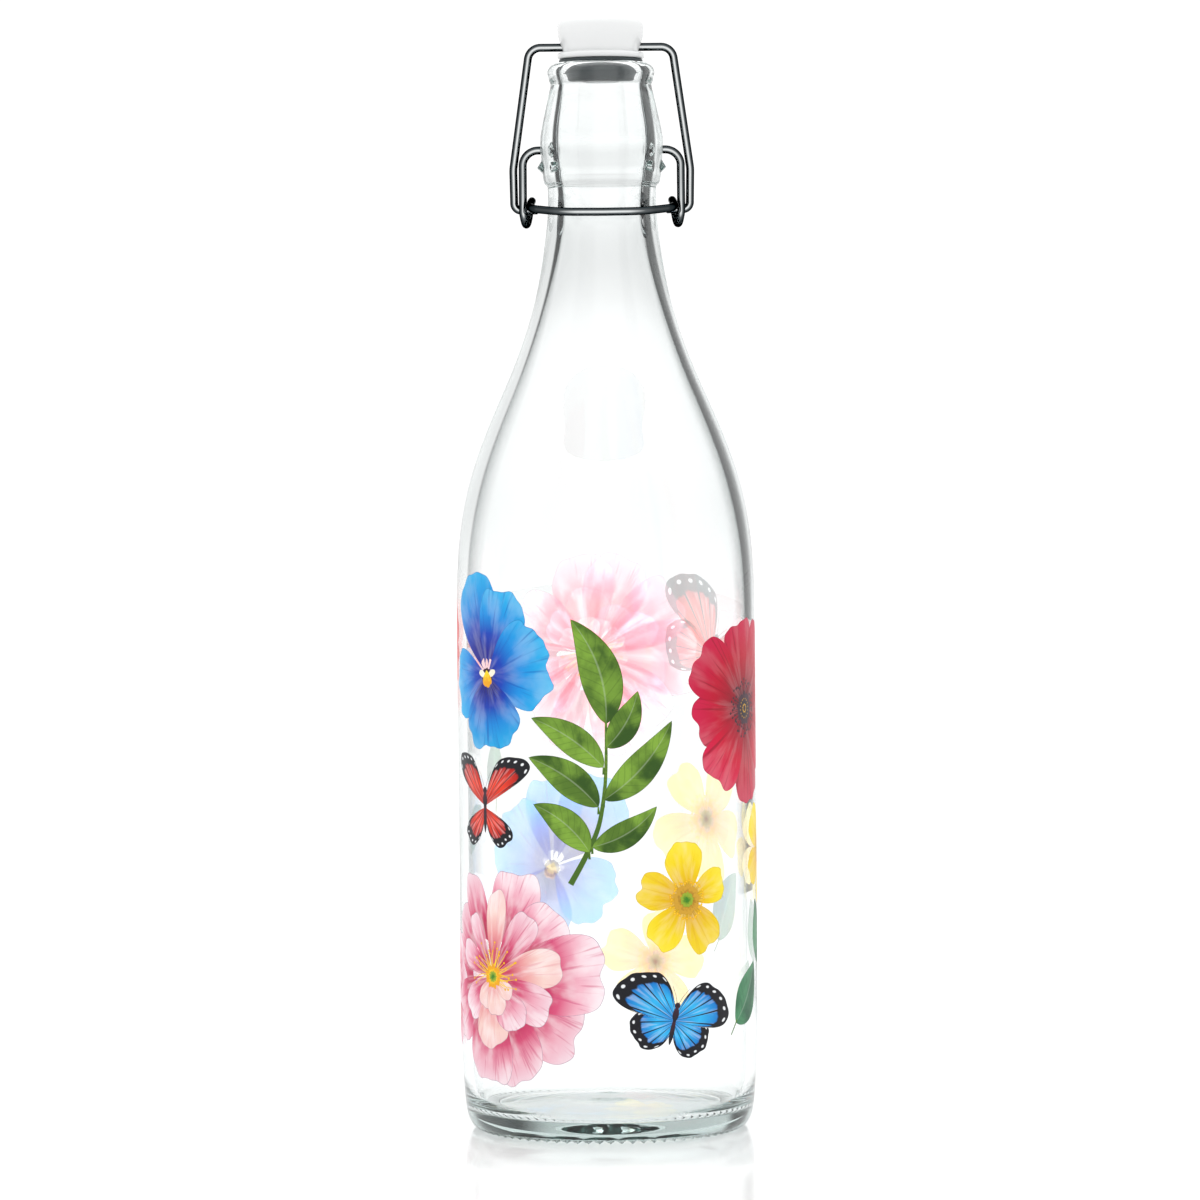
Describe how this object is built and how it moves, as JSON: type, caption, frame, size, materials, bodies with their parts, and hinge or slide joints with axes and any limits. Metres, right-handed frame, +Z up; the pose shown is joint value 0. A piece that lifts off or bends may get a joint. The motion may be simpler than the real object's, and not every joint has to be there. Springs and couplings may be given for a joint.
{
  "type": "swing top bottle",
  "caption": "Tall round glass bottle with a narrow neck, closed by a swing-top stopper that a bail wire and an over-centre lever wire hold down.",
  "frame": {"origin": "centre of the resting ring, on the surface that the bottle stands on", "axes": "+Z up along the bottle's axis, -Y towards the lever's thumb bar, X along the wire pivots"},
  "size_m": [0.085, 0.085, 0.3156],
  "materials": {
    "glass": "gloss",
    "stopper": "gloss",
    "gasket": "matte",
    "wire": "gloss"
  },
  "bodies": {
    "bottle": {"glass_bottle": "glass"},
    "lever": {"lever_wire": "wire"},
    "bail": {"bail_wire": "wire"},
    "closure": {"stopper": "stopper", "gasket": "gasket"}
  },
  "joints": [
    {"name": "lever_swing", "type": "hinge", "parent": "bottle", "child": "lever", "pos_m": [0, 0, 0.2778], "axis": [-1, 0, 0], "range_deg": [0, 92]},
    {"name": "bail_swing", "type": "hinge", "parent": "lever", "child": "bail", "pos_m": [0, 0.0012, 0.2609], "axis": [1, 0, 0], "range_deg": [0, 58]},
    {"name": "stopper_tilt", "type": "hinge", "parent": "bail", "child": "closure", "pos_m": [0, 0, 0.3068], "axis": [1, 0, 0], "range_deg": [0, 30]}
  ],
  "couplings": [
    {"joint": "bail_swing", "follows": "lever_swing", "ratio": 0.62},
    {"joint": "stopper_tilt", "follows": "lever_swing", "ratio": 0.32}
  ]
}
